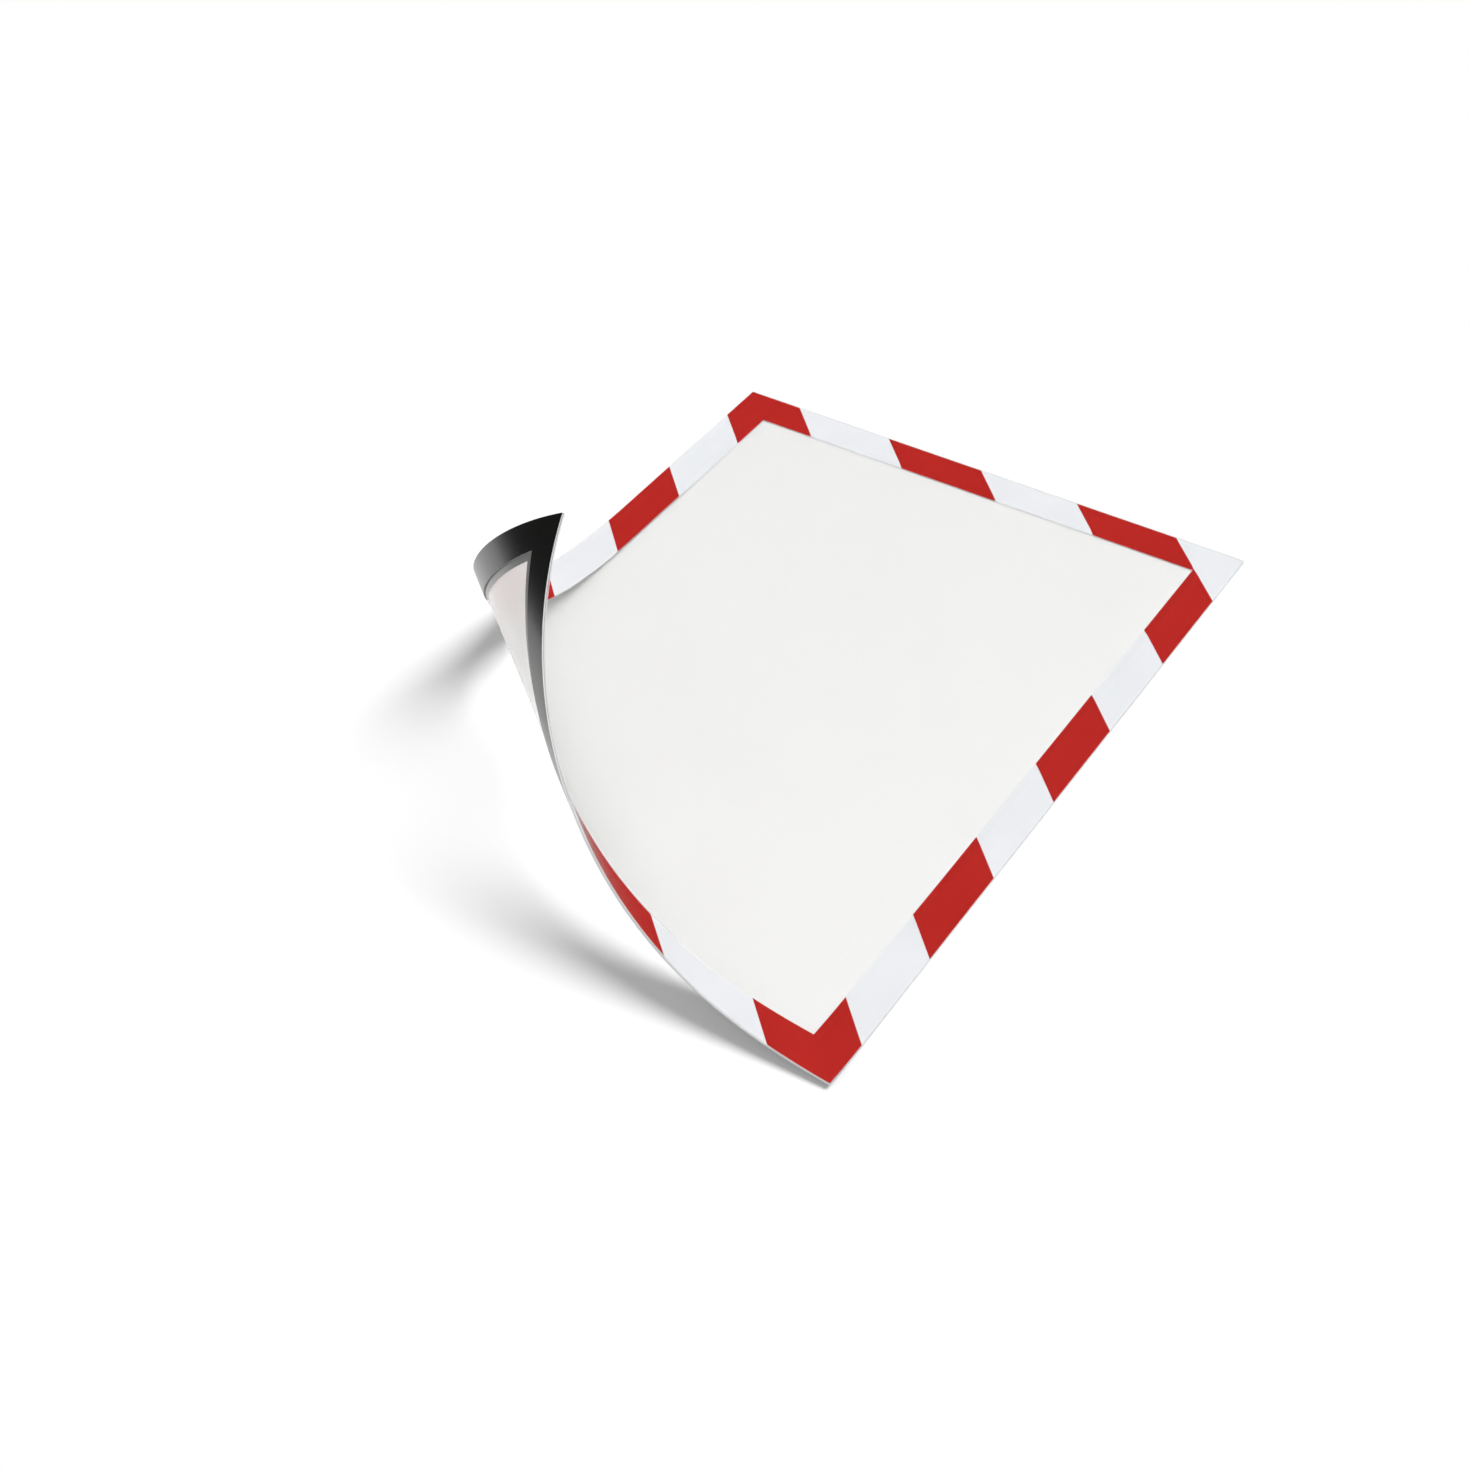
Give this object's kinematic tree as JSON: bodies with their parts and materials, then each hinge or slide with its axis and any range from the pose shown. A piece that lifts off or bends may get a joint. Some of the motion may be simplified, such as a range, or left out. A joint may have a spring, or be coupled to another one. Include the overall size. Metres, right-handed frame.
{
  "type": "magnetic display frame",
  "caption": "Flexible A4 display frame: clear film window, red and white striped border and black magnetic back band, with one corner peeled up into a curl.",
  "frame": {"origin": "centre of the flat frame's outline, on the surface it lies on, at the back of the magnetic band", "axes": "+X along the frame's width towards its right side, +Y along its height towards its top, +Z out of its face; the peeled corner is the one at -X and -Y"},
  "size_m": [0.2363, 0.3228, 0.1103],
  "materials": {
    "clear_film": "clear film with a soft anti-glare surface",
    "white_print": "white printed film, satin, with a mid-grey back",
    "red_print": "red printed stripe, satin",
    "magnetic_rubber": "black flexible magnetic sheet, smooth and softly shining"
  },
  "bodies": {
    "lying_sheet": {"window_film": "clear_film", "white_border": "white_print", "magnetic_band": "magnetic_rubber", "red_stripe_1": "red_print", "red_stripe_2_top": "red_print", "red_stripe_2_right": "red_print", "red_stripe_3_top": "red_print", "red_stripe_3_right": "red_print", "red_stripe_4_left": "red_print", "red_stripe_4_right": "red_print"},
    "corner_strip_1": {"window_film_strip_1": "clear_film", "white_border_left_strip_1": "white_print", "white_border_bottom_strip_1": "white_print", "magnetic_band_left_strip_1": "magnetic_rubber", "magnetic_band_bottom_strip_1": "magnetic_rubber", "red_stripe_4_strip_1": "red_print", "red_stripe_5_strip_1": "red_print"},
    "corner_strip_2": {"window_film_strip_2": "clear_film", "white_border_left_strip_2": "white_print", "white_border_bottom_strip_2": "white_print", "magnetic_band_left_strip_2": "magnetic_rubber", "magnetic_band_bottom_strip_2": "magnetic_rubber", "red_stripe_5_left_strip_2": "red_print", "red_stripe_5_bottom_strip_2": "red_print"},
    "corner_strip_3": {"window_film_strip_3": "clear_film", "white_border_left_strip_3": "white_print", "white_border_bottom_strip_3": "white_print", "magnetic_band_left_strip_3": "magnetic_rubber", "magnetic_band_bottom_strip_3": "magnetic_rubber", "red_stripe_5_left_strip_3": "red_print", "red_stripe_5_bottom_strip_3": "red_print"},
    "corner_strip_4": {"window_film_strip_4": "clear_film", "white_border_left_strip_4": "white_print", "white_border_bottom_strip_4": "white_print", "magnetic_band_left_strip_4": "magnetic_rubber", "magnetic_band_bottom_strip_4": "magnetic_rubber", "red_stripe_5_strip_4": "red_print"},
    "corner_strip_5": {"window_film_strip_5": "clear_film", "white_border_left_strip_5": "white_print", "white_border_bottom_strip_5": "white_print", "magnetic_band_left_strip_5": "magnetic_rubber", "magnetic_band_bottom_strip_5": "magnetic_rubber", "red_stripe_6_left_strip_5": "red_print", "red_stripe_6_bottom_strip_5": "red_print"},
    "corner_strip_6": {"window_film_strip_6": "clear_film", "white_border_bottom_strip_6": "white_print", "white_border_left_strip_6": "white_print", "magnetic_band_left_strip_6": "magnetic_rubber", "magnetic_band_bottom_strip_6": "magnetic_rubber", "red_stripe_6_bottom_strip_6": "red_print", "red_stripe_6_left_strip_6": "red_print"},
    "corner_strip_7": {"window_film_strip_7": "clear_film", "white_border_strip_7": "white_print", "magnetic_band_strip_7": "magnetic_rubber", "red_stripe_6_strip_7": "red_print"},
    "corner_strip_8": {"window_film_strip_8": "clear_film", "white_border_strip_8": "white_print", "magnetic_band_strip_8": "magnetic_rubber"}
  },
  "joints": [
    {"name": "corner_flex_1", "type": "hinge", "parent": "lying_sheet", "child": "corner_strip_1", "pos_m": [-0.02385, -0.0444, 0], "axis": [0.7793, -0.6266, 0], "range_deg": [0, 18.09]},
    {"name": "corner_flex_2", "type": "hinge", "parent": "corner_strip_1", "child": "corner_strip_2", "pos_m": [-0.04004, -0.06454, 0.00844], "axis": [0.7793, -0.6266, 0], "range_deg": [0, 18.09]},
    {"name": "corner_flex_3", "type": "hinge", "parent": "corner_strip_2", "child": "corner_strip_3", "pos_m": [-0.04978, -0.07665, 0.0198], "axis": [0.7793, -0.6266, 0], "range_deg": [0, 18.09]},
    {"name": "corner_flex_4", "type": "hinge", "parent": "corner_strip_3", "child": "corner_strip_4", "pos_m": [-0.05669, -0.08525, 0.03513], "axis": [0.7793, -0.6266, 0], "range_deg": [0, 18.09]},
    {"name": "corner_flex_5", "type": "hinge", "parent": "corner_strip_4", "child": "corner_strip_5", "pos_m": [-0.06028, -0.08971, 0.05311], "axis": [0.7793, -0.6266, 0], "range_deg": [0, 18.09]},
    {"name": "corner_flex_6", "type": "hinge", "parent": "corner_strip_5", "child": "corner_strip_6", "pos_m": [-0.06019, -0.0896, 0.07199], "axis": [0.7793, -0.6266, 0], "range_deg": [0, 18.09]},
    {"name": "corner_flex_7", "type": "hinge", "parent": "corner_strip_6", "child": "corner_strip_7", "pos_m": [-0.05643, -0.08492, 0.08989], "axis": [0.7793, -0.6266, 0], "range_deg": [0, 18.09]},
    {"name": "corner_flex_8", "type": "hinge", "parent": "corner_strip_7", "child": "corner_strip_8", "pos_m": [-0.04938, -0.07615, 0.10504], "axis": [0.7793, -0.6266, 0], "range_deg": [0, 18.09]}
  ],
  "couplings": [
    {"joint": "corner_flex_2", "follows": "corner_flex_1", "ratio": 1},
    {"joint": "corner_flex_3", "follows": "corner_flex_1", "ratio": 1},
    {"joint": "corner_flex_4", "follows": "corner_flex_1", "ratio": 1},
    {"joint": "corner_flex_5", "follows": "corner_flex_1", "ratio": 1},
    {"joint": "corner_flex_6", "follows": "corner_flex_1", "ratio": 1},
    {"joint": "corner_flex_7", "follows": "corner_flex_1", "ratio": 1},
    {"joint": "corner_flex_8", "follows": "corner_flex_1", "ratio": 1}
  ]
}
